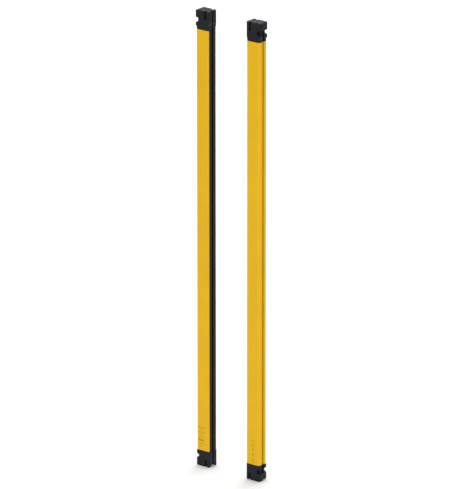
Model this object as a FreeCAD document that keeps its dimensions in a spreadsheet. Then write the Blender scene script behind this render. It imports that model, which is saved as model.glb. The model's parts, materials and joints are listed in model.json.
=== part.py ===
"""Safety light curtain: an emitter bar and a receiver bar that face each other.

Both bars are the same slim extruded profile with a window, an optics train and
two moulded end caps; the receiver is turned half round about the vertical.

Each bar is drawn in its own frame: X runs from the back of the bar (negative) to
its window (positive), Y across it, and Z up from the lowest plane of the bottom
cap. All lengths are millimetres. Every place and size below is a formula in the
sheet's named cells.
"""
import FreeCAD, Part
import os
import re
import Sketcher

V = FreeCAD.Vector

DIMENSIONS = [
    # the pair
    ("spacing", 156, "between the centre lines of the two bars"),
    # the bar
    ("depth", 39, "profile, back to window"),
    ("width", 30, "profile, side to side"),
    ("profile_length", 1075, "length of the extrusion"),
    ("bottom_height", 41, "bottom cap, below the profile"),
    ("top_height", 48, "top cap, above the profile"),
    ("rear_radius", 6, "profile's rear corners"),
    ("front_radius", 3, "profile's front corners"),
    ("wall", 2, "profile's side walls and webs"),
    # the slot along the back
    ("slot_mouth", 6.6, "width of the mouth"),
    ("slot_lip", 2, "thickness of the lips"),
    ("slot_width", 11, "width of the channel behind the lips"),
    ("slot_depth", 4.6, "depth of the channel behind the lips"),
    # screw ports for the cap screws
    ("port_setback", 28.1, "port axis, behind the profile's front"),
    ("port_offset", 10.3, "port axis, from the middle plane"),
    ("port_radius", 1.25, "hole in the port and core of the screw"),
    ("port_boss", 2.7, "port's half width"),
    ("chamber_setback", 2.2, "lightening chamber, from the outer faces"),
    ("chamber_depth", 4.9, "lightening chamber, along the depth"),
    ("chamber_width", 4.9, "lightening chamber, along the width"),
    # the window and its seat
    ("window_width", 24.5, "part of the window that shows"),
    ("mouth_gap", 0.15, "window to profile lip, each side"),
    ("lip_setback", 2.3, "back of the lip, behind the profile's front"),
    ("flange_width", 26.6, "window over its flanges"),
    ("flange_thickness", 2, "window flanges"),
    ("seal_thickness", 1, "seal strips behind the flanges"),
    ("ledge_thickness", 1.6, "ledges that carry the seals"),
    ("ledge_reach", 1.6, "ledges, in from the side walls"),
    ("groove_width", 5, "groove down the middle of the front"),
    ("groove_depth", 2.2, "depth of that groove"),
    ("cap_groove_depth", 5, "depth of the groove where it goes on through the caps"),
    # end caps
    ("gasket", 1, "rubber between cap and profile"),
    ("gasket_inset", 0.4, "gasket's edge, in from the profile's"),
    ("rear_proud", 2.6, "top cap beyond the profile at the back"),
    ("lip_proud", 1.2, "top cap's lip between notch and profile, beyond the profile at the back"),
    ("foot_proud", 1.5, "bottom cap beyond the profile at the back"),
    ("front_proud", 1.5, "top cap beyond the profile at the front"),
    ("foot_front_proud", 0.9, "bottom cap beyond the profile at the front"),
    ("cap_rear_radius", 5, "cap's rear corners"),
    ("cap_front_radius", 3, "cap's front corners"),
    ("edge_radius", 1, "small rounding of the caps' outer edges"),
    ("top_notch_radius", 5.9, "bracket notch in the top cap, half its height"),
    ("bottom_notch_radius", 5.4, "bracket notch in the bottom cap, half its height"),
    ("top_notch_end", 8.8, "inner end of the top notches, in from the profile's back"),
    ("bottom_notch_end", 7.6, "inner end of the bottom notches, in from the profile's back"),
    ("notch_bevel", 2.6, "bevel of the lip beside the profile, along the depth"),
    ("top_bevel", 4.3, "height of that bevel in the top cap"),
    ("bottom_bevel", 3, "height of that bevel in the bottom cap"),
    ("notch_web", 15.6, "web left between the two notches"),
    ("web_setback", 1.5, "back of the web, in from the profile's back"),
    ("top_notch", 23.7, "notch centre, above the profile"),
    ("bottom_notch", 16.6, "notch centre, below the profile"),
    ("top_rear_flush", 8, "top cap's back is level with the profile below this"),
    ("top_rear_beak", 12.4, "and fully proud above this"),
    ("top_front_flush", 13.5, "top cap's front is level with the profile below this"),
    ("top_front_full", 17.8, "and fully proud above this"),
    ("bottom_flush", 1.5, "bottom cap is level with the profile above this"),
    ("bottom_rear_beak", 7.5, "bottom cap's back is fully proud below this"),
    ("key_slot_offset", 11.5, "slot in the top cap's back, from the middle plane"),
    ("key_slot_width", 3.4, "slot in the top cap's back"),
    ("key_slot_depth", 2, "slot in the top cap's back"),
    ("key_slot_start", 1.5, "its upper end, below the top"),
    ("key_slot_length", 10, "slot in the top cap's back"),
    ("cap_slot_width", 6.6, "slot in the cap's sides"),
    ("cap_slot_setback", 9.8, "slot's middle, behind the profile's front"),
    ("top_slot_length", 22, "slot's length down from the top"),
    ("bottom_slot_length", 18, "slot's length up from the bottom"),
    ("top_slot_depth", 4.4, "slot's depth in the top cap"),
    ("top_round", 5.5, "rounding of the top cap's back edge"),
    ("bottom_round", 7, "rounding of the bottom cap's back edge"),
    ("spigot_height", 4, "cap's tongue inside the profile"),
    ("spigot_half_width", 11, "cap's tongue, half across"),
    ("spigot_wall", 1.6, "wall of the tongue"),
    ("roof", 6, "top cap's roof over its hollow"),
    ("floor", 8, "bottom cap's floor under its hollow"),
    ("cheek_drop", 6, "cheeks below the bottom cap's end face"),
    ("cheek", 4.5, "thickness of the cheeks"),
    # cap screws
    ("top_screw_seat", 32, "above the top cap's base, over the notches"),
    ("top_screw_length", 40, "under the head"),
    ("bottom_screw_seat", 10, "below the bottom cap's upper face"),
    ("bottom_screw_length", 20, "under the head"),
    ("head_radius", 2.5, "screw head"),
    ("head_height", 3, "screw head"),
    ("bore_radius", 2.7, "bore for the screw head"),
    ("clearance_radius", 1.45, "hole for the screw's shank"),
    ("key_radius", 1.3, "hexagon socket, across its corners, halved"),
    ("key_depth", 1.8, "hexagon socket"),
    # connector in the bottom cap
    ("connector_length", 27.6, "connector flange, along the depth"),
    ("connector_width", 13, "connector flange, across"),
    ("connector_seal", 0.6, "seal under the flange"),
    ("insert_length", 18.4, "connector body inside the cap"),
    ("insert_width", 8.8, "connector body inside the cap"),
    ("insert_height", 10.5, "connector body above its seal"),
    ("insert_gap", 0.3, "round the connector body"),
    ("socket_length", 15, "opening for the plug"),
    ("socket_width", 5.8, "opening for the plug"),
    ("socket_depth", 10.5, "opening for the plug"),
    ("socket_radius", 0.8, "corners of that opening"),
    ("small_screw_radius", 1, "connector screws"),
    ("small_head_radius", 1.7, "connector screws"),
    ("small_head_height", 1.4, "connector screws"),
    ("small_screw_length", 11, "connector screws, under the head"),
    ("small_screw_pitch", 22.4, "between the connector screws"),
    ("pin_width", 0.8, "contact pins, square"),
    ("pin_pitch", 3, "between the contact pins"),
    # optics
    ("beams", 40, "number of beams"),
    ("pitch", 25, "between beams"),
    ("modules", 4, "boards and lens strips end to end"),
    ("module_gap", 0.4, "between one module and the next"),
    ("carrier_half_width", 12.8, "optics carrier, half across"),
    ("carrier_wall", 1.6, "its side walls"),
    ("carrier_front", 2, "its front wall"),
    ("carrier_end_gap", 6, "carrier's end, in from the profile's end"),
    ("carrier_depth", 18, "optics carrier, front to back"),
    ("aperture_radius", 5.2, "hole in front of each beam"),
    ("lens_plate", 2, "plate of the lens strips"),
    ("lens_half_width", 10, "lens strips, half across"),
    ("lens_radius", 4.7, "each lens"),
    ("lens_bulge", 1.5, "height of each lens"),
    # boards
    ("board_thickness", 1.6, "all circuit boards"),
    ("board_half_width", 11.9, "boards, half across"),
    ("board_groove", 0.1, "play of the boards in their grooves"),
    ("beam_board_setback", 17.4, "front of the beam boards, behind the profile's front"),
    ("control_board_setback", 22.3, "front of the control board, behind the profile's front"),
    ("control_board_length", 160, "control board"),
    ("foot_clearance", 8, "lower end of the boards above the profile's end"),
]
ALIASES = {alias for alias, _, _ in DIMENSIONS}

doc = FreeCAD.newDocument("SafetyLightCurtain")
sheet = doc.addObject("Spreadsheet::Sheet", "Sheet")
for row, (alias, size, meaning) in enumerate(DIMENSIONS, start=1):
    sheet.set(f"A{row}", alias)
    sheet.set(f"B{row}", str(size))
    sheet.set(f"C{row}", meaning)
    sheet.setAlias(f"B{row}", alias)
doc.recompute()

# ---------------------------------------------------------------- named places
REAR = "(-depth / 2)"
FRONT = "(depth / 2)"
SIDE = "(width / 2)"
INNER_SIDE = "(width / 2 - wall)"
CAP_REAR = "(-depth / 2 - rear_proud)"                   # top cap
CAP_FRONT = "(depth / 2 + front_proud)"
LIP_REAR = "(-depth / 2 - lip_proud)"
FOOT_REAR = "(-depth / 2 - foot_proud)"                  # bottom cap
FOOT_FRONT = "(depth / 2 + foot_front_proud)"
BEYOND = "(depth)"                      # safely outside every piece

BASE = "bottom_height"                  # lower end of the profile
TOP = "(bottom_height + profile_length)"
TOTAL = "(bottom_height + profile_length + top_height)"
BOTTOM_CAP_BASE = "(bottom_height - gasket)"
TOP_CAP_BASE = "(bottom_height + profile_length + gasket)"

SLOT_FLOOR = "(-depth / 2 + slot_lip + slot_depth)"
CAVITY_REAR = "(-depth / 2 + slot_lip + slot_depth + wall)"
LIP_BACK = "(depth / 2 - lip_setback)"
FLANGE_BACK = "(depth / 2 - lip_setback - flange_thickness)"
SEAL_BACK = "(depth / 2 - lip_setback - flange_thickness - seal_thickness)"
LEDGE_BACK = "(depth / 2 - lip_setback - flange_thickness - seal_thickness - ledge_thickness)"
LEDGE_SIDE = "(width / 2 - wall - ledge_reach)"
GROOVE_FLOOR = "(depth / 2 - groove_depth)"
CAP_GROOVE_FLOOR = "(depth / 2 - cap_groove_depth)"

PORT = "(depth / 2 - port_setback)"
PORT_FRONT = "(depth / 2 - port_setback + port_boss)"
PORT_INSIDE = "(port_offset - port_boss)"

CARRIER_FRONT = LEDGE_BACK
CARRIER_REAR = f"({CARRIER_FRONT} - carrier_depth)"
BEAM_BOARD = "(depth / 2 - beam_board_setback)"          # front faces of the boards
CONTROL_BOARD = "(depth / 2 - control_board_setback)"
CONTROL_REAR = "(depth / 2 - control_board_setback - board_thickness)"

SPIGOT_REAR = "(depth / 2 - port_setback + port_boss + 0.5)"
SPIGOT_FRONT = "(depth / 2 - lip_setback - flange_thickness - seal_thickness - ledge_thickness - 0.4)"
OPTICS_START = "(bottom_height + (profile_length - beams * pitch) / 2)"
FIRST_BEAM = "(bottom_height + (profile_length - beams * pitch) / 2 + pitch / 2)"
MODULE = "(beams * pitch / modules)"

CONNECTOR_FRONT = "(-depth / 2 - foot_proud + connector_length)"
CONNECTOR_INSIDE = "(width / 2 - connector_width)"
CONNECTOR_X = "(-depth / 2 - foot_proud + connector_length / 2)"
CONNECTOR_Y = "(width / 2 - connector_width / 2)"
SEAL_LEVEL = "(cheek_drop - connector_seal)"


def formula(text):
    """The text with every alias written as the sheet's cell."""
    return re.sub(r"[a-z_]+", lambda m: f"Sheet.{m[0]}" if m[0] in ALIASES else m[0], str(text))


def number(text):
    """What a formula comes to."""
    return float(sheet.evalExpression(formula(text)))


def bind(feature, field, text):
    feature.setExpression(field, formula(text))


# ------------------------------------------------------------------- sketching
PLANE_OFFSET = {"XY_Plane": 1, "XZ_Plane": -1, "YZ_Plane": 1}     # sign of the sketch's normal


def new_sketch(body, name, plane, offset):
    """An empty sketch parallel to one of the body's planes; offset is along X, Y or Z."""
    sketch = body.newObject("Sketcher::SketchObject", name)
    support = next(o for o in body.Origin.OriginFeatures if o.Role == plane)
    sketch.AttachmentSupport = (support, [""])
    sketch.MapMode = "FlatFace"
    sign = PLANE_OFFSET[plane]
    bind(sketch, "AttachmentOffset.Base.z", f"{sign} * ({offset})")
    return sketch


def pin_point(sketch, curve, end, point):
    """Ties one end of a sketch curve to two formulas, measured from the sketch's origin."""
    for kind, text in zip(("DistanceX", "DistanceY"), point):
        index = sketch.addConstraint(Sketcher.Constraint(kind, -1, 1, curve, end, number(text)))
        sketch.setExpression(f"Constraints[{index}]", formula(text))


def corner_points(corners, index):
    """The one point of a sharp corner, or the start and end of a rounded one."""
    corner = corners[index]
    if len(corner) == 2:
        return [corner]
    here = [number(text) for text in corner[:2]]
    points = []
    for other in (corners[index - 1], corners[(index + 1) % len(corners)]):
        step = [number(other[axis]) - here[axis] for axis in (0, 1)]
        length = (step[0] ** 2 + step[1] ** 2) ** 0.5
        away = [round(part / length, 6) for part in step]
        points.append(tuple(f"({corner[axis]}) + ({away[axis]}) * ({corner[2]})" for axis in (0, 1)))
    return points


def add_loop(sketch, corners):
    """A closed outline; a corner is (x, y), or (x, y, radius) where it is square and rounded."""
    spots = [corner_points(corners, index) for index in range(len(corners))]
    pieces = []                                       # (curve, start point, end point)
    for index, here in enumerate(spots):
        after = spots[(index + 1) % len(spots)]
        if len(here) == 2:
            pieces.append(add_corner_arc(sketch, corners[index], here))
        ends = [V(*(number(text) for text in point), 0) for point in (here[-1], after[0])]
        line = sketch.addGeometry(Part.LineSegment(*ends))
        pin_point(sketch, line, 1, here[-1])
        pieces.append((line, 1, 2))
        if len(after) == 2:
            pin_point(sketch, line, 2, after[0])
    for before, after in zip(pieces, pieces[1:] + pieces[:1]):
        sketch.addConstraint(Sketcher.Constraint("Coincident", before[0], before[2], after[0], after[1]))


def add_corner_arc(sketch, corner, ends):
    """A quarter circle that rounds a square corner."""
    start, end = (V(*(number(text) for text in point), 0) for point in ends)
    vertex = V(number(corner[0]), number(corner[1]), 0)
    centre = start + end - vertex
    middle = centre + (vertex - centre).normalize() * number(corner[2])
    arc = sketch.addGeometry(Part.Arc(start, middle, end))
    first = 1 if sketch.getPoint(arc, 1).distanceToPoint(start) < 1e-6 else 2
    index = sketch.addConstraint(Sketcher.Constraint("Radius", arc, number(corner[2])))
    sketch.setExpression(f"Constraints[{index}]", formula(corner[2]))
    return arc, first, 3 - first


def outline(body, name, plane, loops, offset="0"):
    sketch = new_sketch(body, name, plane, offset)
    for corners in loops:
        add_loop(sketch, corners)
    doc.recompute()
    return sketch


def circles(body, name, plane, centres, radius, offset="0"):
    sketch = new_sketch(body, name, plane, offset)
    for centre in centres:
        spot = V(*(number(text) for text in centre), 0)
        circle = sketch.addGeometry(Part.Circle(spot, V(0, 0, 1), number(radius)))
        pin_point(sketch, circle, 3, centre)
        index = sketch.addConstraint(Sketcher.Constraint("Radius", circle, number(radius)))
        sketch.setExpression(f"Constraints[{index}]", formula(radius))
    doc.recompute()
    return sketch


def rectangle(low_x, high_x, low_y, high_y):
    return [(low_x, low_y), (high_x, low_y), (high_x, high_y), (low_x, high_y)]


def mirrored(half):
    """A whole outline from its half on the positive side."""
    other = [(corner[0], f"-({corner[1]})", *corner[2:]) for corner in reversed(half)]
    return half + other


def hexagon(centre_x, centre_y):
    tall = "key_radius * 0.8660254"
    return [
        (f"{centre_x} + key_radius", centre_y),
        (f"{centre_x} + key_radius / 2", f"{centre_y} + {tall}"),
        (f"{centre_x} - key_radius / 2", f"{centre_y} + {tall}"),
        (f"{centre_x} - key_radius", centre_y),
        (f"{centre_x} - key_radius / 2", f"{centre_y} - {tall}"),
        (f"{centre_x} + key_radius / 2", f"{centre_y} - {tall}"),
    ]


# -------------------------------------------------------------------- features
UNITS = {"emitter": (-1, 0), "receiver": (1, 180)}    # side of the pair, turn about Z
nodes = []


def new_body(unit, name):
    """A body in its bar's place, named after the bar and the piece."""
    side, turn = UNITS[unit]
    body = doc.addObject("PartDesign::Body", f"{unit}_{name}")
    body.Label = f"{unit}_{name}"
    body.AllowCompound = True
    body.Placement = FreeCAD.Placement(V(0, 0, 0), FreeCAD.Rotation(V(0, 0, 1), turn))
    bind(body, "Placement.Base.x", f"{side} * spacing / 2")
    nodes.append(body)
    return body


def volume(body):
    """What the body holds so far; nothing before its first feature."""
    return body.Shape.Volume if body.Tip and body.Tip.isDerivedFrom("PartDesign::Feature") else 0.0


def extrude(body, kind, name, sketch, length, downward, symmetric):
    before = volume(body)
    feature = body.newObject(f"PartDesign::{kind}", name)
    feature.Profile = sketch
    feature.Type = "Length"
    feature.SideType = "Symmetric" if symmetric else "One side"
    feature.Reversed = downward
    bind(feature, "Length", length)
    doc.recompute()
    change = body.Shape.Volume - before
    if change * (1 if kind == "Pad" else -1) <= 1e-6:
        raise RuntimeError(f"{body.Label}: {name} changed the volume by {change:.4f}")
    return feature


def pad(body, name, sketch, length, downward=False, symmetric=False):
    """Adds material along the sketch's normal, or against it."""
    return extrude(body, "Pad", name, sketch, length, downward, symmetric)


def pocket(body, name, sketch, length, upward=False, symmetric=False):
    """Takes material away against the sketch's normal, or along it."""
    return extrude(body, "Pocket", name, sketch, length, upward, symmetric)


def block(body, name, x_range, y_range, z_range):
    """Adds a plain block between pairs of formulas."""
    sketch = outline(body, f"{name}_outline", "XY_Plane", [rectangle(*x_range, *y_range)], z_range[0])
    return pad(body, name, sketch, f"({z_range[1]}) - ({z_range[0]})")


def repeat_upward(body, name, features, length, count):
    pattern = body.newObject("PartDesign::LinearPattern", name)
    pattern.Originals = features
    upward = next(o for o in body.Origin.OriginFeatures if o.Role == "Z_Axis")
    pattern.Direction = (upward, [""])
    bind(pattern, "Length", length)
    bind(pattern, "Occurrences", count)
    body.Tip = pattern
    doc.recompute()
    return pattern


def round_edges(body, name, chosen, radius):
    """Rounds the edges of the body that chosen() picks."""
    base = body.Tip
    picked = [f"Edge{i}" for i, edge in enumerate(base.Shape.Edges, start=1) if chosen(edge)]
    if not picked:
        raise RuntimeError(f"{body.Label}: {name} found no edge")
    fillet = body.newObject("PartDesign::Fillet", name)
    fillet.Base = (base, picked)
    bind(fillet, "Radius", radius)
    doc.recompute()
    return fillet


def lies_at_height(level):
    """Picks the edges that lie wholly in one horizontal plane."""
    height = number(level)
    return lambda edge: abs(edge.BoundBox.ZMin - height) < 1e-4 and abs(edge.BoundBox.ZMax - height) < 1e-4


# --------------------------------------------------------------------- housing
PROFILE_OUTLINE = mirrored([(REAR, SIDE, "rear_radius"), (FRONT, SIDE, "front_radius")])
TOP_OUTLINE, FOOT_OUTLINE = (
    mirrored([(rear, SIDE, "cap_rear_radius"), (front, SIDE, "cap_front_radius")])
    for rear, front in ((CAP_REAR, CAP_FRONT), (FOOT_REAR, FOOT_FRONT))
)


def housing(unit):
    """Extruded profile: side walls, window seat, screw ports and the slot down the back."""
    body = new_body(unit, "housing")
    section = outline(body, "section", "XY_Plane", [PROFILE_OUTLINE], BASE)
    pad(body, "extrusion", section, "profile_length")
    lip_side = "(window_width / 2 + mouth_gap)"
    flange_side = "(flange_width / 2 + mouth_gap / 3)"
    cavity = mirrored([
        (CAVITY_REAR, PORT_INSIDE),
        (PORT_FRONT, PORT_INSIDE),
        (PORT_FRONT, INNER_SIDE),
        (LEDGE_BACK, INNER_SIDE),
        (LEDGE_BACK, LEDGE_SIDE),
        (SEAL_BACK, LEDGE_SIDE),
        (SEAL_BACK, flange_side),
        (LIP_BACK, flange_side),
        (LIP_BACK, lip_side),
        (BEYOND, lip_side),
    ])
    slot = mirrored([
        (f"-{BEYOND}", "slot_mouth / 2"),
        ("(-depth / 2 + slot_lip)", "slot_mouth / 2"),
        ("(-depth / 2 + slot_lip)", "slot_width / 2"),
        (SLOT_FLOOR, "slot_width / 2"),
    ])
    near = "(-depth / 2 + chamber_setback)"
    far = "(-depth / 2 + chamber_setback + chamber_depth)"
    outer = "(width / 2 - chamber_setback)"
    inner = "(width / 2 - chamber_setback - chamber_width)"
    chambers = [
        [(near, f"{s} * {inner}"), (far, f"{s} * {inner}"), (far, f"{s} * {outer}"),
         (near, f"{s} * {outer}", "rear_radius / 2")]
        for s in (1, -1)
    ]
    for name, loops in (("cavity", [cavity]), ("rear_slot", [slot]), ("chambers", chambers)):
        sketch = outline(body, f"{name}_section", "XY_Plane", loops, BASE)
        pocket(body, name, sketch, "profile_length", upward=True)
    ports = circles(body, "port_section", "XY_Plane", [(PORT, "port_offset"), (PORT, "-port_offset")],
                    "port_radius", BASE)
    pocket(body, "ports", ports, "profile_length", upward=True)


def window(unit):
    """Dark cover strip with flanges held behind the profile's lips."""
    body = new_body(unit, "window")
    section = outline(body, "section", "XY_Plane", [mirrored([
        (FLANGE_BACK, "flange_width / 2"),
        (LIP_BACK, "flange_width / 2"),
        (LIP_BACK, "window_width / 2"),
        (FRONT, "window_width / 2", "mouth_gap * 4"),
        (FRONT, "groove_width / 2"),
        (GROOVE_FLOOR, "groove_width / 2 - 0.3"),
    ])], BASE)
    pad(body, "strip", section, "profile_length")


def window_seals(unit):
    """Two rubber cords between the window's flanges and the ledges."""
    body = new_body(unit, "window_seals")
    inner, outer = f"({LEDGE_SIDE} + 0.1)", "(flange_width / 2)"
    strips = [rectangle(SEAL_BACK, FLANGE_BACK, f"{s} * {inner}", f"{s} * {outer}") for s in (1, -1)]
    section = outline(body, "section", "XY_Plane", strips, BASE)
    pad(body, "strips", section, "profile_length")


# ---------------------------------------------------------------------- optics
def optics_carrier(unit):
    """Channel that holds the boards in grooves, with a hole in front of each beam."""
    body = new_body(unit, "optics_carrier")
    inner = "(carrier_half_width - carrier_wall)"
    grooves = []
    for face in (CONTROL_BOARD, BEAM_BOARD):
        back = f"({face} - board_thickness - board_groove)"
        bottom = "(board_half_width + board_groove)"
        grooves += [(back, inner), (back, bottom), (face, bottom), (face, inner)]
    front_wall = f"({CARRIER_FRONT} - carrier_front)"
    section = outline(body, "section", "XY_Plane", [
        mirrored([(CARRIER_FRONT, "carrier_half_width"), (CARRIER_REAR, "carrier_half_width"),
                  (CARRIER_REAR, inner), *grooves, (front_wall, inner)])
    ], f"{BASE} + carrier_end_gap")
    pad(body, "channel", section, "profile_length - 2 * carrier_end_gap")
    hole = circles(body, "aperture_circle", "YZ_Plane", [("0", FIRST_BEAM)], "aperture_radius", CARRIER_FRONT)
    aperture = pocket(body, "aperture", hole, "carrier_front")
    repeat_upward(body, "apertures", [aperture], "(beams - 1) * pitch", "beams")
    view_port = outline(body, "view_port_outline", "YZ_Plane",
                        [rectangle("-3", "3", f"{BASE} + foot_clearance", f"{BASE} + foot_clearance + 14")],
                        CARRIER_FRONT)
    pocket(body, "view_port", view_port, "carrier_front")


def lens_strip(unit, index):
    """Clear moulded strip with a bulging lens for each beam of its module."""
    body = new_body(unit, f"lens_strip_{index + 1}")
    start = f"({OPTICS_START} + {index} * {MODULE} + module_gap / 2)"
    back = f"({CARRIER_FRONT})"
    plate = outline(body, "plate_outline", "XY_Plane",
                    [rectangle(back, f"{back} + lens_plate", "-lens_half_width", "lens_half_width")], start)
    pad(body, "plate", plate, f"{MODULE} - module_gap")
    lens = body.newObject("PartDesign::AdditiveEllipsoid", "lens")
    lens.Placement = FreeCAD.Placement(V(0, 0, 0), FreeCAD.Rotation(V(0, 1, 0), 90))
    bind(lens, "Placement.Base.x", back)
    bind(lens, "Placement.Base.z", f"{FIRST_BEAM} + {index} * {MODULE}")
    bind(lens, "Radius1", "lens_bulge")
    bind(lens, "Radius2", "lens_radius")
    bind(lens, "Radius3", "lens_radius")
    doc.recompute()
    repeat_upward(body, "lenses", [lens], f"{MODULE} - pitch", "beams / modules")


def beam_board(unit, index):
    """Circuit board of one module; the lowest reaches down past the status lights."""
    body = new_body(unit, f"beam_board_{index + 1}")
    start = f"({OPTICS_START} + {index} * {MODULE} + module_gap / 2)"
    end = f"({OPTICS_START} + {index + 1} * {MODULE} - module_gap / 2)"
    if index == 0:
        start = f"({BASE} + foot_clearance)"
    block(body, "board", (f"{BEAM_BOARD} - board_thickness", BEAM_BOARD),
          ("-board_half_width", "board_half_width"), (start, end))


def beam_diodes(unit):
    """One diode behind each lens: raised sources in the emitter, flat sensors in the receiver."""
    name, half_width, thick = {
        "emitter": ("infrared_leds", "1.6", "1.4"),
        "receiver": ("photodiodes", "2.2", "1.1"),
    }[unit]
    body = new_body(unit, name)
    front = f"({BEAM_BOARD} + {thick})"
    case = block(body, "case", (BEAM_BOARD, front), (f"-{half_width}", half_width),
                 (f"{FIRST_BEAM} - {half_width}", f"{FIRST_BEAM} + {half_width}"))
    parts = [case]
    if unit == "emitter":
        parts.append(block(body, "lens", (front, f"{front} + 0.6"), ("-0.9", "0.9"),
                           (f"{FIRST_BEAM} - 0.9", f"{FIRST_BEAM} + 0.9")))
    repeat_upward(body, "row", parts, "(beams - 1) * pitch", "beams")


def board_links(unit):
    """Connectors that bridge neighbouring boards, and the header to the control board."""
    body = new_body(unit, "board_links")
    joint = f"({OPTICS_START} + {MODULE})"
    back = f"({BEAM_BOARD} - board_thickness)"
    bridge = block(body, "bridge", (f"{back} - 2.4", back), ("-4", "4"), (f"{joint} - 6", f"{joint} + 6"))
    repeat_upward(body, "bridges", [bridge], f"{MODULE} * (modules - 2)", "modules - 1")
    block(body, "header", (CONTROL_BOARD, back), ("-7", "1"),
          (f"{BASE} + foot_clearance + 60", f"{BASE} + foot_clearance + 66"))


def status_lights(unit):
    """Four small lamps on the lowest board, behind the foot of the window."""
    body = new_body(unit, "status_lights")
    first = f"({BASE} + foot_clearance + 2)"
    lamp = block(body, "lamp", (BEAM_BOARD, f"{BEAM_BOARD} + 0.9"), ("-0.8", "0.8"), (first, f"{first} + 1"))
    repeat_upward(body, "lamps", [lamp], "9", "4")


# --------------------------------------------------------------------- control
def control_board(unit):
    body = new_body(unit, "control_board")
    block(body, "board", (CONTROL_REAR, CONTROL_BOARD), ("-board_half_width", "board_half_width"),
          (f"{BASE} + foot_clearance", f"{BASE} + foot_clearance + control_board_length"))


def control_components(unit):
    """Two processors, two output switches, an inductor and storage capacitors on the board's back."""
    body = new_body(unit, "control_components")
    chips = [
        # name, middle across, middle above the board's foot, width, height, thickness
        ("processor_a", -3, 95, 10, 10, 1.2),
        ("processor_b", -3, 120, 10, 10, 1.2),
        ("switch_a", -3.6, 22, 6.5, 6, 2.2),
        ("switch_b", 3.6, 22, 6.5, 6, 2.2),
        ("inductor", -3, 42, 7, 7, 3.4),
        ("transceiver", 2, 72, 6, 5, 1.5),
    ]
    foot = f"({BASE} + foot_clearance)"
    for name, across, above, wide, tall, thick in chips:
        block(body, name, (f"{CONTROL_REAR} - {thick}", CONTROL_REAR),
              (f"{across - wide / 2}", f"{across + wide / 2}"),
              (f"{foot} + {above - tall / 2}", f"{foot} + {above + tall / 2}"))
    cans = circles(body, "capacitor_circles", "YZ_Plane",
                   [("3.6", f"{foot} + {above}") for above in (40, 48, 56)], "2.6", CONTROL_REAR)
    pad(body, "capacitors", cans, "3.6", downward=True)


def earth_spring(unit):
    """Bent steel leaf that joins the control board to the profile."""
    body = new_body(unit, "earth_spring")
    leaf = "0.3"
    section = outline(body, "section", "XY_Plane", [[
        (CONTROL_REAR, "6"), (CONTROL_REAR, "1.5"), (f"{CAVITY_REAR} + {leaf}", "-2"),
        (f"{CAVITY_REAR} + {leaf}", "-5"), (CAVITY_REAR, "-5"), (CAVITY_REAR, "-1.85"),
        (f"{CONTROL_REAR} - {leaf}", "1.65"), (f"{CONTROL_REAR} - {leaf}", "6"),
    ]], f"{BASE} + foot_clearance + 136")
    pad(body, "leaf", section, "8")


# ------------------------------------------------------------------------ caps
def cap_gasket(unit, name, level):
    """Flat rubber between cap and profile, open over the slot, the groove and the hollow."""
    body = new_body(unit, name)
    edge, side = "(depth / 2 - gasket_inset)", "(width / 2 - gasket_inset)"
    sheet_outline = mirrored([
        (SLOT_FLOOR, "slot_mouth / 2"),
        (f"-{edge}", "slot_mouth / 2"),
        (f"-{edge}", side, "rear_radius - gasket_inset"),
        (edge, side, "front_radius - gasket_inset"),
        (edge, "groove_width / 2"),
        (GROOVE_FLOOR, "groove_width / 2"),
    ])
    opening = rectangle(f"{SPIGOT_REAR} - 0.2", f"{SPIGOT_FRONT} + 0.2",
                        "-(spigot_half_width + 0.2)", "spigot_half_width + 0.2")
    section = outline(body, "section", "XY_Plane", [sheet_outline, opening], level)
    pad(body, "sheet", section, "gasket")
    holes = circles(body, "hole_circles", "XY_Plane", [(PORT, "port_offset"), (PORT, "-port_offset")],
                    "clearance_radius", level)
    pocket(body, "holes", holes, "gasket", upward=True)


def cap_screws(unit, name, seat, length, upward):
    """Two socket screws that run through a cap into the profile's ports."""
    body = new_body(unit, name)
    centres = [(PORT, "port_offset"), (PORT, "-port_offset")]
    heads = circles(body, "head_circles", "XY_Plane", centres, "head_radius", seat)
    pad(body, "heads", heads, "head_height", downward=upward)
    shanks = circles(body, "shank_circles", "XY_Plane", centres, "port_radius", seat)
    pad(body, "shanks", shanks, length, downward=not upward)
    face = f"{seat} {'-' if upward else '+'} head_height"
    keys = outline(body, "key_outlines", "XY_Plane", [hexagon(x, f"({y})") for x, y in centres], face)
    pocket(body, "keys", keys, "key_depth", upward=upward)


def hollow_and_spigot(body, base, depth_into_cap, upward):
    """The cap's tongue inside the profile, and the hollow that opens through it."""
    tongue = outline(body, "spigot_outline", "XY_Plane",
                     [rectangle(SPIGOT_REAR, SPIGOT_FRONT, "-spigot_half_width", "spigot_half_width")], base)
    pad(body, "spigot", tongue, "spigot_height + gasket", downward=upward)
    sign = "-" if upward else "+"
    inside = outline(body, "hollow_outline", "XY_Plane", [rectangle(
        f"{SPIGOT_REAR} + spigot_wall", f"{SPIGOT_FRONT} - spigot_wall",
        "-(spigot_half_width - spigot_wall)", "spigot_half_width - spigot_wall",
    )], f"{base} {sign} (spigot_height + gasket)")
    pocket(body, "hollow", inside, f"{depth_into_cap} + spigot_height + gasket", upward=upward)


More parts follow.
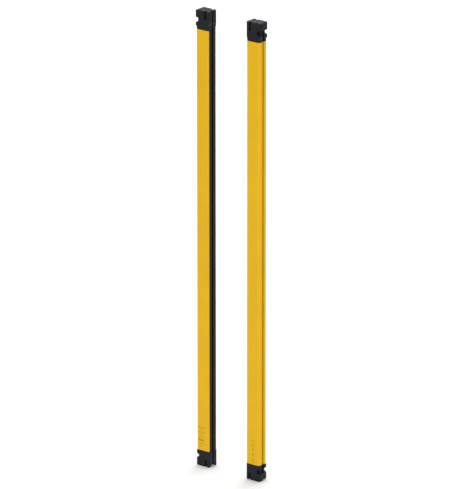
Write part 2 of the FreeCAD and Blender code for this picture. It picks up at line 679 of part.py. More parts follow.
def bracket_notches(body, level, radius, end_depth, lip_rear, bevel_height):
    """A round-ended notch cut in from the back on each side, with a web left between them.

    The lip beside the profile ends at lip_rear and is bevelled; bevel_height is negative where that
    lip is the lower one.
    """
    end = f"({REAR} + {end_depth})"
    rounding = f"{radius} * 0.999"                   # leaves a short straight between the two arcs
    beside, away = (f"({level} {sign} {radius})" for sign in ("-+" if "-" in bevel_height else "+-"))
    past = f"({CAP_REAR} - 1)"
    shape = outline(body, "notch_outline", "XZ_Plane", [[
        (past, f"{beside} + {bevel_height}"), (lip_rear, f"{beside} + {bevel_height}"),
        (f"{lip_rear} + notch_bevel", beside), (end, beside, rounding), (end, away, rounding),
        (past, away),
    ]])
    pocket(body, "notch", shape, "2 * width", symmetric=True)
    half_height = f"({radius} + 0.5)"
    web = outline(body, "web_outline", "XZ_Plane", [rectangle(
        f"{REAR} + web_setback", f"{end} + 1", f"{level} - {half_height}", f"{level} + {half_height}",
    )])
    pad(body, "web", web, "notch_web", symmetric=True)


def cap_side_slots(body, level, length, slot_depth, upward):
    """A slot up each side of the cap, close to its front."""
    middle = "(depth / 2 - cap_slot_setback)"
    loops = [
        rectangle(f"{middle} - cap_slot_width / 2", f"{middle} + cap_slot_width / 2",
                  f"{s} * ({SIDE} - {slot_depth})", f"{s} * width")
        for s in (1, -1)
    ]
    sketch = outline(body, "side_slot_outlines", "XY_Plane", loops, level)
    pocket(body, "side_slots", sketch, length, upward=upward)


def cap_front_groove(body, level, length, upward):
    """The front groove carries on through the cap."""
    sketch = outline(body, "groove_outline", "XY_Plane",
                     [rectangle(CAP_GROOVE_FLOOR, BEYOND, "-groove_width / 2", "groove_width / 2")], level)
    pocket(body, "front_groove", sketch, length, upward=upward)


def cap_rear_groove(body, level, length, upward):
    """The slot's mouth carries on through the cap as far as the notches."""
    sketch = outline(body, "rear_groove_outline", "XY_Plane",
                     [rectangle(f"-{BEYOND}", SLOT_FLOOR, "-slot_mouth / 2", "slot_mouth / 2")], level)
    pocket(body, "rear_groove", sketch, length, upward=upward)


def cap_screw_bores(body, face, seat, base, upward):
    """Deep bores for the screw heads, and holes for the shanks below them."""
    centres = [(PORT, "port_offset"), (PORT, "-port_offset")]
    bores = circles(body, "bore_circles", "XY_Plane", centres, "bore_radius", face)
    pocket(body, "bores", bores, f"abs({seat} - {face})", upward=upward)
    holes = circles(body, "shank_hole_circles", "XY_Plane", centres, "clearance_radius", seat)
    pocket(body, "shank_holes", holes, f"abs({base} - {seat})", upward=upward)


def side_cut(body, name, loops, across="2 * width", middle="0"):
    """Takes away what lies inside a side-view outline, equally to both sides of a plane."""
    sketch = outline(body, f"{name}_outline", "XZ_Plane", loops, middle)
    pocket(body, name, sketch, across, symmetric=True)


def rear_round(body, rear, end, radius, outward, across="2 * width", middle="0"):
    """Rounds the cap's back edge at its end face; outward is + at the top and - at the bottom."""
    inward = "-" if outward == "+" else "+"
    past, beyond = f"({rear} - 1)", f"({end} {outward} 1)"
    front, level = f"({rear} + {radius} + 0.5)", f"({end} {inward} ({radius} + 0.5))"
    side_cut(body, "rear_round", [[
        (past, beyond), (front, beyond), (front, end), (rear, end, radius), (rear, level), (past, level),
    ]], across, middle)


def top_cap(unit):
    """Cap with the bracket notches and screw bores; its back and front run out towards the profile."""
    body = new_body(unit, "top_cap")
    flush = outline(body, "flush_outline", "XY_Plane", [PROFILE_OUTLINE], TOP_CAP_BASE)
    pad(body, "flush_block", flush, "top_height - gasket")
    lower_edge = f"({TOP} + top_rear_flush)"
    proud = outline(body, "proud_outline", "XY_Plane", [TOP_OUTLINE], lower_edge)
    pad(body, "proud_block", proud, "top_height - top_rear_flush")
    round_edges(body, "top_edges", lies_at_height(TOTAL), "edge_radius")
    rear_round(body, CAP_REAR, TOTAL, "top_round", "+")
    past, notch_level = f"({CAP_REAR} - 1)", f"({TOP} + top_notch)"
    side_cut(body, "rear_taper", [[
        (past, TOP), (REAR, TOP), (REAR, lower_edge), (LIP_REAR, f"{TOP} + top_rear_beak"),
        (LIP_REAR, notch_level), (past, notch_level),
    ]])
    side_cut(body, "front_taper", [[
        (FRONT, TOP), (BEYOND, TOP), (BEYOND, f"{TOP} + top_front_full"),
        (CAP_FRONT, f"{TOP} + top_front_full"), (FRONT, f"{TOP} + top_front_flush"),
    ]])
    bracket_notches(body, notch_level, "top_notch_radius", "top_notch_end", LIP_REAR, "(-top_bevel)")
    cap_rear_groove(body, TOP_CAP_BASE, "top_notch + top_notch_radius - gasket", True)
    cap_side_slots(body, TOTAL, "top_slot_length", "top_slot_depth", False)
    cap_front_groove(body, TOP_CAP_BASE, "top_height", True)
    key_slot_top = f"({TOTAL} - key_slot_start)"
    side_cut(body, "key_slot", [rectangle(
        past, f"{CAP_REAR} + key_slot_depth", f"{key_slot_top} - key_slot_length", key_slot_top,
    )], "key_slot_width", "key_slot_offset")
    cap_screw_bores(body, TOTAL, f"({TOP_CAP_BASE} + top_screw_seat)", TOP_CAP_BASE, False)
    hollow_and_spigot(body, TOP_CAP_BASE, "top_height - gasket - roof", True)


def bottom_cap(unit):
    """Cap whose end face lies between two cheeks; the connector's flange takes half of one cheek."""
    body = new_body(unit, "bottom_cap")
    flush = outline(body, "flush_outline", "XY_Plane", [PROFILE_OUTLINE], "0")
    pad(body, "flush_block", flush, BOTTOM_CAP_BASE)
    upper_edge = f"({BASE} - bottom_flush)"
    proud = outline(body, "proud_outline", "XY_Plane", [FOOT_OUTLINE], "0")
    pad(body, "proud_block", proud, upper_edge)
    round_edges(body, "bottom_edges", lies_at_height("0"), "edge_radius")
    rear_round(body, FOOT_REAR, "0", "bottom_round", "-", middle=f"{CONNECTOR_INSIDE} - width")
    past = f"({FOOT_REAR} - 1)"
    side_cut(body, "rear_taper", [[
        (past, BASE), (REAR, BASE), (REAR, upper_edge), (FOOT_REAR, f"{BASE} - bottom_rear_beak"),
        (past, f"{BASE} - bottom_rear_beak"),
    ]])
    inner_cheek, beside_flange = f"({SIDE} - cheek)", f"({CONNECTOR_FRONT} + 0.1)"
    recess = outline(body, "recess_outline", "XY_Plane", [[
        (f"-{BEYOND}", f"-{inner_cheek}"), (BEYOND, f"-{inner_cheek}"), (BEYOND, inner_cheek),
        (beside_flange, inner_cheek), (beside_flange, "width"), (f"-{BEYOND}", "width"),
    ]], "0")
    pocket(body, "recess", recess, "cheek_drop", upward=True)
    bracket_notches(body, "(bottom_height - bottom_notch)", "bottom_notch_radius", "bottom_notch_end",
                    FOOT_REAR, "bottom_bevel")
    cap_rear_groove(body, BOTTOM_CAP_BASE, "bottom_notch + bottom_notch_radius - gasket", False)
    cap_side_slots(body, "0", "bottom_slot_length", "cheek + 0.1", True)
    cap_front_groove(body, "0", "bottom_height", True)
    cap_screw_bores(body, "cheek_drop", f"({BOTTOM_CAP_BASE} - bottom_screw_seat)", BOTTOM_CAP_BASE, True)
    hollow_and_spigot(body, BOTTOM_CAP_BASE, f"{BOTTOM_CAP_BASE} - cheek_drop - floor", False)
    seat = outline(body, "insert_seat_outline", "XY_Plane", [insert_outline("insert_gap")], "cheek_drop")
    pocket(body, "insert_seat", seat, "insert_height - connector_seal + insert_gap", upward=True)
    threads = circles(body, "thread_circles", "XY_Plane", small_screw_centres(), "small_screw_radius",
                      "cheek_drop")
    pocket(body, "threads", threads, "small_screw_length - cheek_drop + small_head_height", upward=True)


# ------------------------------------------------------------------- connector
def insert_outline(gap):
    """Outline of the connector's body, widened by a gap on every side."""
    half_length, half_width = f"(insert_length / 2 + {gap})", f"(insert_width / 2 + {gap})"
    return rectangle(f"{CONNECTOR_X} - {half_length}", f"{CONNECTOR_X} + {half_length}",
                     f"{CONNECTOR_Y} - {half_width}", f"{CONNECTOR_Y} + {half_width}")


def small_screw_centres():
    return [(f"{CONNECTOR_X} {sign} small_screw_pitch / 2", CONNECTOR_Y) for sign in "-+"]


def flange_outline(inset):
    """Outline of the connector's flange, drawn in by an inset on every side."""
    return [(f"{FOOT_REAR} + {inset}", f"{CONNECTOR_INSIDE} + {inset}"),
            (f"{CONNECTOR_FRONT} - {inset}", f"{CONNECTOR_INSIDE} + {inset}"),
            (f"{CONNECTOR_FRONT} - {inset}", f"{SIDE} - {inset}"),
            (f"{FOOT_REAR} + {inset}", f"{SIDE} - {inset}", f"cap_rear_radius - {inset}")]


def connector_socket(unit):
    """Rectangular receptacle: a flange level with the cheeks and a body up inside the cap."""
    body = new_body(unit, "connector_socket")
    flange = outline(body, "flange_outline", "XY_Plane", [flange_outline("0")], "0")
    pad(body, "flange", flange, SEAL_LEVEL)
    insert = outline(body, "insert_outline", "XY_Plane", [insert_outline("0")], SEAL_LEVEL)
    pad(body, "insert", insert, "insert_height")
    half_length, half_width = "socket_length / 2", "socket_width / 2"
    opening = outline(body, "opening_outline", "XY_Plane", [[
        (f"{CONNECTOR_X} - {half_length}", f"{CONNECTOR_Y} - {half_width}", "socket_radius"),
        (f"{CONNECTOR_X} + {half_length}", f"{CONNECTOR_Y} - {half_width}", "socket_radius"),
        (f"{CONNECTOR_X} + {half_length}", f"{CONNECTOR_Y} + {half_width}", "socket_radius"),
        (f"{CONNECTOR_X} - {half_length}", f"{CONNECTOR_Y} + {half_width}", "socket_radius"),
    ]], "0")
    pocket(body, "opening", opening, "socket_depth", upward=True)
    holes = circles(body, "screw_holes", "XY_Plane", small_screw_centres(), "small_screw_radius + 0.1", "0")
    pocket(body, "screw_hole", holes, SEAL_LEVEL, upward=True)
    seats = circles(body, "screw_seats", "XY_Plane", small_screw_centres(), "small_head_radius + 0.15", "0")
    pocket(body, "screw_seat", seats, "small_head_height", upward=True)
    pins = outline(body, "pin_holes", "XY_Plane", pin_outlines(), "socket_depth")
    pocket(body, "pin_hole", pins, f"{SEAL_LEVEL} + insert_height - socket_depth", upward=True)


def pin_outlines():
    """Two rows of four square contacts."""
    loops = []
    for row in (-0.5, 0.5):
        for column in (-1.5, -0.5, 0.5, 1.5):
            x = f"({CONNECTOR_X} + {column} * pin_pitch)"
            y = f"({CONNECTOR_Y} + {row} * (socket_width / 2))"
            loops.append(rectangle(f"{x} - pin_width / 2", f"{x} + pin_width / 2",
                                   f"{y} - pin_width / 2", f"{y} + pin_width / 2"))
    return loops


def connector_pins(unit):
    body = new_body(unit, "connector_pins")
    section = outline(body, "section", "XY_Plane", pin_outlines(), "socket_depth / 3")
    pad(body, "pins", section, f"{SEAL_LEVEL} + insert_height - socket_depth / 3")


def connector_gasket(unit):
    """Thin seal between the connector's flange and the cap."""
    body = new_body(unit, "connector_gasket")
    section = outline(body, "section", "XY_Plane", [flange_outline("0.3"), insert_outline("0.1")], SEAL_LEVEL)
    pad(body, "sheet", section, "connector_seal")
    holes = circles(body, "hole_circles", "XY_Plane", small_screw_centres(), "small_screw_radius + 0.2",
                    SEAL_LEVEL)
    pocket(body, "holes", holes, "connector_seal", upward=True)


def connector_screws(unit):
    body = new_body(unit, "connector_screws")
    heads = circles(body, "head_circles", "XY_Plane", small_screw_centres(), "small_head_radius", "0")
    pad(body, "heads", heads, "small_head_height")
    shanks = circles(body, "shank_circles", "XY_Plane", small_screw_centres(), "small_screw_radius",
                     "small_head_height")
    pad(body, "shanks", shanks, "small_screw_length")
    across = [rectangle(f"{x} - 1.1", f"{x} + 1.1", f"{y} - 0.2", f"{y} + 0.2")
              for x, y in small_screw_centres()]
    blades = outline(body, "blade_slots", "XY_Plane", across, "0")
    pocket(body, "blade_slot", blades, "0.7", upward=True)


def connector_lead(unit):
    """Flat lead from the connector up through the cap's hollow to the control board."""
    body = new_body(unit, "connector_lead")
    block(body, "lead", (CONTROL_BOARD, f"{CONTROL_BOARD} + 0.6"), ("4.8", "9.2"),
          (f"{SEAL_LEVEL} + insert_height", f"{BASE} + foot_clearance + 10"))


# ------------------------------------------------------------------ both bars
for unit in UNITS:
    housing(unit)
    window(unit)
    window_seals(unit)
    optics_carrier(unit)
    for index in range(int(number("modules"))):
        lens_strip(unit, index)
        beam_board(unit, index)
    beam_diodes(unit)
    board_links(unit)
    status_lights(unit)
    control_board(unit)
    control_components(unit)
    earth_spring(unit)
    top_cap(unit)
    cap_gasket(unit, "top_cap_gasket", TOP)
    cap_screws(unit, "top_cap_screws", f"({TOP_CAP_BASE} + top_screw_seat)", "top_screw_length", False)
    bottom_cap(unit)
    cap_gasket(unit, "bottom_cap_gasket", BOTTOM_CAP_BASE)
    cap_screws(unit, "bottom_cap_screws", f"({BOTTOM_CAP_BASE} - bottom_screw_seat)",
               "bottom_screw_length", True)
    connector_socket(unit)
    connector_pins(unit)
    connector_gasket(unit)
    connector_screws(unit)
    connector_lead(unit)

doc.recompute()
for thing in doc.Objects:
    if {"Invalid", "Error"} & set(thing.State):
        raise RuntimeError(f"{thing.Label} failed: {thing.State}")
for node in nodes:
    if node.Shape.isNull() or not node.Shape.isValid() or not node.Shape.Solids:
        raise RuntimeError(f"{node.Label} has no valid solid")

os.makedirs("parts", exist_ok=True)
for node in nodes:
    node.Shape.exportStep(f"parts/{node.Label}.step")
    print(f"{node.Label}: {len(node.Shape.Solids)} solid(s), {node.Shape.Volume / 1000:.3f} cm3")
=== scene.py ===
"""Looks for the safety light curtain: materials, studio light, floor and camera."""
import json
import math

import bpy
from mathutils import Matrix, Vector


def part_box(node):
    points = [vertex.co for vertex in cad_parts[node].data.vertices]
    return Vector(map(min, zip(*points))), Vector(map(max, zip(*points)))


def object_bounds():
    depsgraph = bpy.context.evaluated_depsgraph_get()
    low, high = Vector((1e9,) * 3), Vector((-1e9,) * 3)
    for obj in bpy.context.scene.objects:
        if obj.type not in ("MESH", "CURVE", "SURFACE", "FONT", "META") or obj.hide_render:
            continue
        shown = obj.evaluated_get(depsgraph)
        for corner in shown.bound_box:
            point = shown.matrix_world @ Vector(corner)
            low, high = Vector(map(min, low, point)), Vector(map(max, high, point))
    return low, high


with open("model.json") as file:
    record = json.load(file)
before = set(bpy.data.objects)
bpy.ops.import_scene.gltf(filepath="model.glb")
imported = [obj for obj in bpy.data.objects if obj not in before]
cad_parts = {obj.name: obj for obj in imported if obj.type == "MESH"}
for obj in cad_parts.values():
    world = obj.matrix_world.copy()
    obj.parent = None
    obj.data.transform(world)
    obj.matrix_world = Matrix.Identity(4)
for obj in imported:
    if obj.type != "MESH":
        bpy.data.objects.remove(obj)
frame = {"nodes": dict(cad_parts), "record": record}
CAD_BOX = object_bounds()
MILLIMETRE = 0.001

# The camera stands far off, so that the bars stay upright and parallel in the picture.
CAMERA_AZIMUTH = 38.6                   # degrees round from the front, towards +X
CAMERA_ELEVATION = 18.8
CAMERA_DISTANCE = 16.0
CAMERA_LENS = 488.0
CAMERA_CLIP_END = 200.0
CAMERA_TARGET = Vector((0.0187, 0.0, 0.590))

# Soft lamps that point at the middle of the bars: place and size in metres, power in watts.
LAMPS = {
    "key": {"place": (6.6, -8.25, 3.4), "size": (6.0, 7.8), "power": 720.0},
    "overhead": {"place": (-1.3, 1.6, 5.0), "size": (6.0, 6.0), "power": 230.0},
    "back": {"place": (-0.8, 3.6, 2.4), "size": (2.5, 2.0), "power": 30.0},
}
WORLD_STRENGTH = 0.6

FLOOR_HALF_SIZE = 60.0
FLOOR_GAP = 0.5 * MILLIMETRE            # keeps the floor clear of the feet

# Colours as linear light.
WINDOW_DEEP = (0.0105, 0.0088, 0.0058)
WINDOW_HAZY = (0.0150, 0.0128, 0.0090)
WINDOW_EDGE = (0.040, 0.034, 0.026)
# The groove's near-black is painted shade for the shadow in the recess.
WINDOW_GROOVE_SHADE = (0.0012, 0.0012, 0.0022)
FLOOR_TONES = ((0.86, 0.86, 0.86), (0.88, 0.88, 0.88))

GROOVE_HALF_WIDTH = 2.7 * MILLIMETRE    # the painted groove shade takes in the groove's side walls
MARK_SHADE = 0.5                        # the marks' brightness against the coat's
GRAIN_DEPTH = 0.012 * MILLIMETRE        # of the moulded plastics and rubber


# ------------------------------------------------------------------ node trees
class Tree:
    """A material's node tree, with short ways to add and join nodes."""

    def __init__(self, name):
        self.material = bpy.data.materials.new(name)
        self.material.use_nodes = True
        self.nodes = self.material.node_tree.nodes
        self.links = self.material.node_tree.links
        self.shader = self.nodes["Principled BSDF"]
        self.place = self.nodes.new("ShaderNodeTexCoord").outputs["Object"]

    def join(self, source, target):
        """Sets a socket from another socket, or from a plain value."""
        if isinstance(source, bpy.types.NodeSocket):
            self.links.new(source, target)
        else:
            target.default_value = source

    def math(self, operation, first, second):
        """One arithmetic step between two sockets or numbers."""
        node = self.nodes.new("ShaderNodeMath")
        node.operation = operation
        self.join(first, node.inputs[0])
        self.join(second, node.inputs[1])
        return node.outputs[0]

    def stretched(self, scale):
        """The place, scaled along each axis."""
        node = self.nodes.new("ShaderNodeMapping")
        self.join(self.place, node.inputs["Vector"])
        node.inputs["Scale"].default_value = scale
        return node.outputs["Vector"]

    def noise(self, size, detail=3.0, stretch=(1.0, 1.0, 1.0), roughness=0.55):
        """Noise whose grains are about size metres across."""
        node = self.nodes.new("ShaderNodeTexNoise")
        self.join(self.stretched(stretch), node.inputs["Vector"])
        node.inputs["Scale"].default_value = 1.0 / size
        node.inputs["Detail"].default_value = detail
        node.inputs["Roughness"].default_value = roughness
        return node.outputs["Fac"]

    def spread(self, value, low, high, start=0.0, end=1.0):
        """Maps start..end onto low..high, held at both ends."""
        node = self.nodes.new("ShaderNodeMapRange")
        self.join(value, node.inputs["Value"])
        for socket, number in (("From Min", start), ("From Max", end), ("To Min", low), ("To Max", high)):
            node.inputs[socket].default_value = number
        return node.outputs["Result"]

    def mix(self, share, first, second):
        """first where share is 0, second where it is 1."""
        node = self.nodes.new("ShaderNodeMix")
        node.data_type = "RGBA"
        self.join(share, node.inputs["Factor"])
        self.join(colour(first), node.inputs["A"])
        self.join(colour(second), node.inputs["B"])
        return node.outputs["Result"]

    def edges(self, radius):
        """1 on sharp edges, 0 on flat faces; with it, the softened normal."""
        bevel = self.nodes.new("ShaderNodeBevel")
        bevel.samples = 4
        bevel.inputs["Radius"].default_value = radius
        flat = self.nodes.new("ShaderNodeNewGeometry").outputs["Normal"]
        dot = self.nodes.new("ShaderNodeVectorMath")
        dot.operation = "DOT_PRODUCT"
        self.join(bevel.outputs["Normal"], dot.inputs[0])
        self.join(flat, dot.inputs[1])
        return self.spread(dot.outputs["Value"], 1.0, 0.0, 0.75, 0.99), bevel.outputs["Normal"]

    def bump(self, height, depth, normal):
        """The normal, roughened by a height that stands for depth metres."""
        node = self.nodes.new("ShaderNodeBump")
        node.inputs["Strength"].default_value = 1.0
        node.inputs["Distance"].default_value = depth
        self.join(height, node.inputs["Height"])
        self.join(normal, node.inputs["Normal"])
        return node.outputs["Normal"]


def colour(value):
    """Three numbers become a colour; anything else stays as it is."""
    return (*value, 1.0) if isinstance(value, tuple) and len(value) == 3 else value


def srgb(red, green, blue):
    """A colour given in 0 to 255 display numbers, by the usual sRGB curve."""
    def linear(byte):
        part = byte / 255
        return part / 12.92 if part <= 0.04045 else ((part + 0.055) / 1.055) ** 2.4
    return linear(red), linear(green), linear(blue)


def shade(rgb, factor):
    """The same colour, factor times as bright."""
    return tuple(min(1.0, part * factor) for part in rgb)


# ------------------------------------------------------------------- materials
def moulded(name, rgb, roughness=0.5, grain=0.25, specular=0.5, worn=1.6, tone=0.12):
    """Moulded plastic or rubber: fine grain, slight cloudiness, edges rubbed smoother and paler."""
    tree = Tree(name)
    edge, softened = tree.edges(0.35 * MILLIMETRE)
    cloud = tree.noise(28 * MILLIMETRE, detail=4.0)
    fine = tree.noise(grain * MILLIMETRE, detail=2.0)
    body = tree.mix(tree.spread(cloud, 0.0, 1.0, 0.3, 0.7), shade(rgb, 1 - tone), shade(rgb, 1 + tone))
    patchy = tree.math("MULTIPLY", edge, tree.spread(tree.noise(3 * MILLIMETRE), 0.15, 1.0, 0.35, 0.65))
    tree.join(tree.mix(patchy, body, shade(rgb, worn)), tree.shader.inputs["Base Color"])
    rough = tree.spread(fine, roughness - 0.07, roughness + 0.07, 0.3, 0.7)
    polished = tree.math("SUBTRACT", rough, tree.math("MULTIPLY", edge, 0.1))
    tree.join(polished, tree.shader.inputs["Roughness"])
    tree.join(tree.bump(fine, GRAIN_DEPTH, softened), tree.shader.inputs["Normal"])
    tree.shader.inputs["Specular IOR Level"].default_value = specular
    return tree


def box_mask(tree, low, high):
    """1 inside a box given in the row frame, 0 outside."""
    place = tree.nodes.new("ShaderNodeSeparateXYZ")
    tree.join(tree.place, place.inputs[0])
    mask = 1.0
    for axis, (start, end) in enumerate(zip(low, high)):
        mask = tree.math("MULTIPLY", mask, tree.math("GREATER_THAN", place.outputs[axis], start))
        mask = tree.math("MULTIPLY", mask, tree.math("LESS_THAN", place.outputs[axis], end))
    return mask


def window_plastic(name):
    """Infrared window: near-black polished strip with drawn lines and faint haze; the groove is rougher and
    darkened with painted shade.
    """
    tree = Tree(name)
    edge, softened = tree.edges(0.3 * MILLIMETRE)
    drawn = tree.noise(0.5 * MILLIMETRE, detail=2.0, stretch=(1.0, 1.0, 0.004))
    haze = tree.noise(22 * MILLIMETRE, detail=5.0, stretch=(1.0, 1.0, 0.35))
    low, high = CAD_BOX[0].copy(), CAD_BOX[1].copy()
    low.y, high.y = -GROOVE_HALF_WIDTH, GROOVE_HALF_WIDTH
    groove = box_mask(tree, low, high)
    cloudy = tree.spread(haze, 0.0, 1.0, 0.35, 0.65)
    strip = tree.mix(edge, tree.mix(cloudy, WINDOW_DEEP, WINDOW_HAZY), WINDOW_EDGE)
    # Painted shade: the groove's colour stands in for the shadow deep in the recess.
    tree.join(tree.mix(groove, strip, WINDOW_GROOVE_SHADE), tree.shader.inputs["Base Color"])
    dull = tree.math("MULTIPLY", groove, 0.35)
    polish = tree.spread(haze, 0.12, 0.24, 0.3, 0.7)
    tree.join(tree.math("ADD", polish, dull), tree.shader.inputs["Roughness"])
    tree.join(tree.bump(drawn, 0.004 * MILLIMETRE, softened), tree.shader.inputs["Normal"])
    tree.shader.inputs["Specular IOR Level"].default_value = 0.1
    return tree


def coated_aluminium(name, rgb, marks):
    """Yellow powder coat: orange peel, faint draw lines, paler rubbed edges and plain marks."""
    tree = Tree(name)
    edge, softened = tree.edges(0.4 * MILLIMETRE)
    cloud = tree.noise(60 * MILLIMETRE, detail=4.0)
    peel = tree.noise(0.9 * MILLIMETRE, detail=2.0, roughness=0.4)
    drawn = tree.noise(1.6 * MILLIMETRE, detail=2.0, stretch=(1.0, 1.0, 0.005))
    body = tree.mix(tree.spread(cloud, 0.0, 1.0, 0.3, 0.7), shade(rgb, 0.965), shade(rgb, 1.03))
    rubbed = tree.math("MULTIPLY", edge, tree.spread(tree.noise(5 * MILLIMETRE), 0.0, 0.55, 0.4, 0.7))
    body = tree.mix(rubbed, body, shade(rgb, 1.22))
    printed = 0.0
    for low, high in marks:
        printed = tree.math("MAXIMUM", printed, box_mask(tree, low, high))
    ink = tree.math("MULTIPLY", printed, tree.spread(tree.noise(2 * MILLIMETRE), 0.65, 0.95, 0.3, 0.7))
    tree.join(tree.mix(ink, body, shade(rgb, MARK_SHADE)), tree.shader.inputs["Base Color"])
    mottled = tree.math("MULTIPLY", cloud, 0.5)
    mottled = tree.math("ADD", mottled, tree.math("MULTIPLY", peel, 0.5))
    tree.join(tree.spread(mottled, 0.36, 0.50, 0.35, 0.65), tree.shader.inputs["Roughness"])
    height = tree.math("ADD", peel, tree.math("MULTIPLY", drawn, 0.6))
    tree.join(tree.bump(height, 0.012 * MILLIMETRE, softened), tree.shader.inputs["Normal"])
    tree.shader.inputs["Specular IOR Level"].default_value = 0.2
    return tree


def bare_metal(name, rgb, roughness):
    """Turned or rolled metal with fine tool lines."""
    tree = Tree(name)
    edge, softened = tree.edges(0.15 * MILLIMETRE)
    lines = tree.noise(0.25 * MILLIMETRE, detail=3.0, stretch=(1.0, 1.0, 0.05))
    stain = tree.noise(4 * MILLIMETRE, detail=4.0)
    tree.join(tree.mix(stain, shade(rgb, 0.82), shade(rgb, 1.05)), tree.shader.inputs["Base Color"])
    rough = tree.spread(lines, roughness - 0.08, roughness + 0.1, 0.3, 0.7)
    polished = tree.math("SUBTRACT", rough, tree.math("MULTIPLY", edge, 0.08))
    tree.join(polished, tree.shader.inputs["Roughness"])
    tree.join(tree.bump(lines, 0.004 * MILLIMETRE, softened), tree.shader.inputs["Normal"])
    tree.shader.inputs["Metallic"].default_value = 1.0
    return tree


def clear_plastic(name):
    """Clear acrylic with faint flow lines and slightly duller edges."""
    tree = Tree(name)
    edge, softened = tree.edges(0.2 * MILLIMETRE)
    flow = tree.noise(6 * MILLIMETRE, detail=3.0)
    tree.join(tree.mix(edge, (0.93, 0.95, 0.96), (0.80, 0.84, 0.86)), tree.shader.inputs["Base Color"])
    tree.join(tree.spread(flow, 0.03, 0.12, 0.3, 0.7), tree.shader.inputs["Roughness"])
    tree.join(tree.bump(flow, 0.01 * MILLIMETRE, softened), tree.shader.inputs["Normal"])
    tree.shader.inputs["Transmission Weight"].default_value = 0.9
    tree.shader.inputs["IOR"].default_value = 1.49
    return tree


def circuit_board(name):
    """Green solder mask over tracks, with the glass weave showing at the edges."""
    tree = Tree(name)
    edge, softened = tree.edges(0.15 * MILLIMETRE)
    wave = tree.nodes.new("ShaderNodeTexWave")
    wave.bands_direction = "Y"
    tree.join(tree.place, wave.inputs["Vector"])
    wave.inputs["Scale"].default_value = 260.0
    wave.inputs["Distortion"].default_value = 3.0
    tracks = tree.spread(wave.outputs["Fac"], 0.0, 1.0, 0.55, 0.65)
    mask = tree.mix(tracks, srgb(10, 74, 38), srgb(20, 98, 52))
    tree.join(tree.mix(edge, mask, srgb(150, 150, 96)), tree.shader.inputs["Base Color"])
    tree.join(tree.spread(tree.noise(3 * MILLIMETRE), 0.28, 0.4, 0.3, 0.7), tree.shader.inputs["Roughness"])
    tree.join(tree.bump(tracks, 0.02 * MILLIMETRE, softened), tree.shader.inputs["Normal"])
    return tree


YELLOW = srgb(207, 162, 2)
# Flat marks near the foot of the side that faces the camera: start and end along the depth, and
# lower edge and height above the profile's foot, in millimetres.
EMITTER_MARKS = [(6, 26, 58, 2.2), (6, 20, 52, 1.6), (6, 26, 46, 1.6), (6, 17, 40, 1.6), (6, 26, 34, 1.6),
                 (6, 23, 24, 5.0), (6, 26, 16, 1.6), (6, 19, 10, 1.6)]
RECEIVER_MARKS = [(19, 22, 3, 13), (19, 22, 22, 9), (19, 22, 36, 6), (19, 22, 47, 8), (19, 22, 60, 4)]
MARKS_OUTSIDE, MARKS_INSIDE = -1.0, 0.2     # the marks' boxes across the side face, in millimetres


def plain_marks(unit, strips):
    """The thin boxes in the row frame that hold a bar's marks."""
    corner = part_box(f"{unit}_housing")[0]
    boxes = []
    for start, end, above, height in strips:
        low = corner + Vector((start, MARKS_OUTSIDE, above)) * MILLIMETRE
        high = corner + Vector((end, MARKS_INSIDE, above + height)) * MILLIMETRE
        boxes.append((low, high))
    return boxes


MATERIALS = {
    "dark_window": window_plastic("dark_window"),
    "cap_plastic": moulded("cap_plastic", srgb(18, 21, 27), roughness=0.5, specular=0.17),
    "seal_rubber": moulded("seal_rubber", srgb(22, 22, 22), roughness=0.75, grain=0.5, specular=0.3),
    "carrier_plastic": moulded("carrier_plastic", srgb(36, 36, 38), roughness=0.7),
    "clear_lens": clear_plastic("clear_lens"),
    "clear_led": clear_plastic("clear_led"),
    "circuit_board": circuit_board("circuit_board"),
    "dark_sensor": moulded("dark_sensor", srgb(30, 18, 26), roughness=0.25),
    "connector_plastic": moulded("connector_plastic", srgb(222, 214, 196), roughness=0.45, worn=1.1,
                                 tone=0.04),
    "chip_plastic": moulded("chip_plastic", srgb(34, 34, 36), roughness=0.6),
    "lead_plastic": moulded("lead_plastic", srgb(176, 178, 182), roughness=0.5, worn=1.1, tone=0.05),
    "steel": bare_metal("steel", (0.56, 0.56, 0.58), 0.32),
    "contact_brass": bare_metal("contact_brass", (0.86, 0.66, 0.30), 0.25),
}
HOUSING_MATERIALS = {
    f"{unit}_housing": coated_aluminium(f"yellow_coat_{unit}", YELLOW, plain_marks(unit, strips))
    for unit, strips in (("emitter", EMITTER_MARKS), ("receiver", RECEIVER_MARKS))
}


def dress_nodes():
    """Gives each node one material: its own for a housing, else the one of its slot."""
    for part in frame["record"]["subparts"]:
        node = part["node"]
        chosen = HOUSING_MATERIALS.get(node) or MATERIALS[part["material_slot"]]
        mesh = frame["nodes"][node].data
        mesh.materials.clear()
        mesh.materials.append(chosen.material)


# ----------------------------------------------------------------------- stage
def floor_material():
    """Matt white paper with a faint unevenness."""
    tree = Tree("studio_floor")
    cloud = tree.noise(0.6, detail=3.0)
    tree.join(tree.mix(cloud, *FLOOR_TONES), tree.shader.inputs["Base Color"])
    tree.join(tree.spread(cloud, 0.85, 0.95), tree.shader.inputs["Roughness"])
    tree.shader.inputs["Specular IOR Level"].default_value = 0.1
    return tree.material


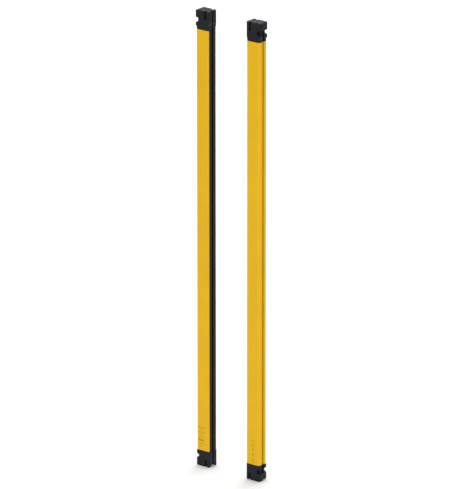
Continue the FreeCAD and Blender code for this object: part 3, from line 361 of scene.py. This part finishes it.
def add_floor():
    """A wide plain square just below the feet."""
    level = CAD_BOX[0].z - FLOOR_GAP
    signs = ((-1, -1), (1, -1), (1, 1), (-1, 1))
    corners = [(x * FLOOR_HALF_SIZE, y * FLOOR_HALF_SIZE, level) for x, y in signs]
    mesh = bpy.data.meshes.new("floor")
    mesh.from_pydata(corners, [], [(0, 1, 2, 3)])
    mesh.materials.append(floor_material())
    floor = bpy.data.objects.new("floor", mesh)
    bpy.context.scene.collection.objects.link(floor)


def look_at(thing, target):
    """Turns a lamp or camera towards target."""
    thing.rotation_euler = (Vector(target) - thing.location).to_track_quat("-Z", "Y").to_euler()


def add_lamp(name, place, size, power):
    """A soft rectangular lamp that the camera itself doesn't see."""
    light = bpy.data.lights.new(name, "AREA")
    light.shape = "RECTANGLE"
    light.size, light.size_y = size
    light.energy = power
    lamp = bpy.data.objects.new(name, light)
    lamp.location = place
    lamp.visible_camera = False
    bpy.context.scene.collection.objects.link(lamp)
    look_at(lamp, (CAD_BOX[0] + CAD_BOX[1]) / 2)


def add_world():
    """Even white light from all round."""
    world = bpy.data.worlds.new("studio")
    world.use_nodes = True
    background = world.node_tree.nodes["Background"]
    background.inputs["Color"].default_value = (1.0, 1.0, 1.0, 1.0)
    background.inputs["Strength"].default_value = WORLD_STRENGTH
    bpy.context.scene.world = world


def add_camera():
    """The picture's camera, turned round the target by azimuth and elevation."""
    data = bpy.data.cameras.new("camera")
    data.lens = CAMERA_LENS
    data.clip_end = CAMERA_CLIP_END
    camera = bpy.data.objects.new("camera", data)
    azimuth, elevation = math.radians(CAMERA_AZIMUTH), math.radians(CAMERA_ELEVATION)
    back = Vector((math.sin(azimuth) * math.cos(elevation), -math.cos(azimuth) * math.cos(elevation),
                   math.sin(elevation)))
    camera.location = CAMERA_TARGET + back * CAMERA_DISTANCE
    bpy.context.scene.collection.objects.link(camera)
    look_at(camera, CAMERA_TARGET)
    bpy.context.scene.camera = camera


dress_nodes()
add_floor()
add_world()
for lamp_name, settings in LAMPS.items():
    add_lamp(lamp_name, **settings)
add_camera()
bpy.context.scene.view_settings.view_transform = "Standard"
